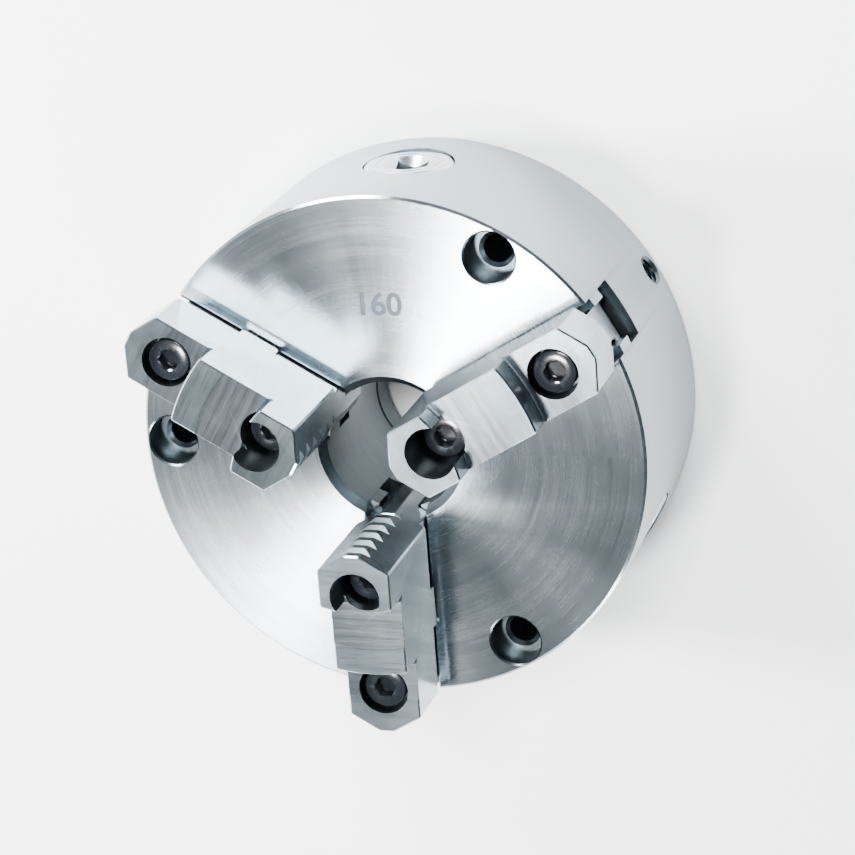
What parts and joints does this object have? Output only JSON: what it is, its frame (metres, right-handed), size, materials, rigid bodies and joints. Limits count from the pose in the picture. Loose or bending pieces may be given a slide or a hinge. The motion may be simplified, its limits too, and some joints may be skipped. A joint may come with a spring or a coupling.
{
  "type": "lathe chuck",
  "caption": "Self-centring scroll chuck for a lathe: round steel body with stepped reversible top jaws on sliding master jaws, square key sockets round the rim and a through bore",
  "frame": {"origin": "centre of the rear face, on the spindle axis", "axes": "+Z is the spindle axis, out of the chuck's face toward the work; -Y runs through one of the key sockets and +Y along one jaw"},
  "size_m": [0.1598, 0.1631, 0.1085],
  "materials": {
    "turned_steel": "bright turned and ground steel",
    "ground_steel": "surface-ground hardened steel",
    "scroll_steel": "machined steel",
    "cover_steel": "machined steel",
    "pinion_steel": "turned steel",
    "black_oxide_steel": "black oxide, lightly oiled"
  },
  "bodies": {
    "body": {"chuck_body": "turned_steel", "rear_cover": "cover_steel", "cover_screw_1": "black_oxide_steel", "cover_screw_2": "black_oxide_steel", "cover_screw_3": "black_oxide_steel", "pinion_retainer_1": "black_oxide_steel", "pinion_retainer_2": "black_oxide_steel", "pinion_retainer_3": "black_oxide_steel"},
    "scroll": {"scroll_plate": "scroll_steel"},
    "jaw_1": {"master_jaw_1": "ground_steel", "top_jaw_1": "ground_steel", "inner_jaw_screw_1": "black_oxide_steel", "outer_jaw_screw_1": "black_oxide_steel"},
    "jaw_2": {"master_jaw_2": "ground_steel", "top_jaw_2": "ground_steel", "inner_jaw_screw_2": "black_oxide_steel", "outer_jaw_screw_2": "black_oxide_steel"},
    "jaw_3": {"master_jaw_3": "ground_steel", "top_jaw_3": "ground_steel", "inner_jaw_screw_3": "black_oxide_steel", "outer_jaw_screw_3": "black_oxide_steel"},
    "pinion_1": {"key_pinion_1": "pinion_steel"},
    "pinion_2": {"key_pinion_2": "pinion_steel"},
    "pinion_3": {"key_pinion_3": "pinion_steel"}
  },
  "joints": [
    {"name": "scroll_turn", "type": "hinge", "parent": "body", "child": "scroll", "pos_m": [0, 0, 0], "axis": [0, 0, 1], "range_deg": [-559, 631]},
    {"name": "jaw_slide_1", "type": "slide", "parent": "body", "child": "jaw_1", "axis": [-0.866, -0.5, 0], "range_m": [-0.0158, 0.014]},
    {"name": "jaw_slide_2", "type": "slide", "parent": "body", "child": "jaw_2", "axis": [0.866, -0.5, 0], "range_m": [-0.0158, 0.014]},
    {"name": "jaw_slide_3", "type": "slide", "parent": "body", "child": "jaw_3", "axis": [0, 1, 0], "range_m": [-0.0158, 0.014]},
    {"name": "pinion_turn_1", "type": "hinge", "parent": "body", "child": "pinion_1", "pos_m": [0, 0, 0.0275], "axis": [0, -1, 0], "range_deg": [-3790, 3358]},
    {"name": "pinion_turn_2", "type": "hinge", "parent": "body", "child": "pinion_2", "pos_m": [0, 0, 0.0275], "axis": [0.866, 0.5, 0], "range_deg": [-3790, 3358]},
    {"name": "pinion_turn_3", "type": "hinge", "parent": "body", "child": "pinion_3", "pos_m": [0, 0, 0.0275], "axis": [-0.866, 0.5, 0], "range_deg": [-3790, 3358]}
  ],
  "couplings": [
    {"joint": "jaw_slide_1", "follows": "scroll_turn", "m_per_rad": -0.0014324},
    {"joint": "jaw_slide_2", "follows": "scroll_turn", "m_per_rad": -0.0014324},
    {"joint": "jaw_slide_3", "follows": "scroll_turn", "m_per_rad": -0.0014324},
    {"joint": "pinion_turn_1", "follows": "scroll_turn", "ratio": -6},
    {"joint": "pinion_turn_2", "follows": "scroll_turn", "ratio": -6},
    {"joint": "pinion_turn_3", "follows": "scroll_turn", "ratio": -6}
  ]
}
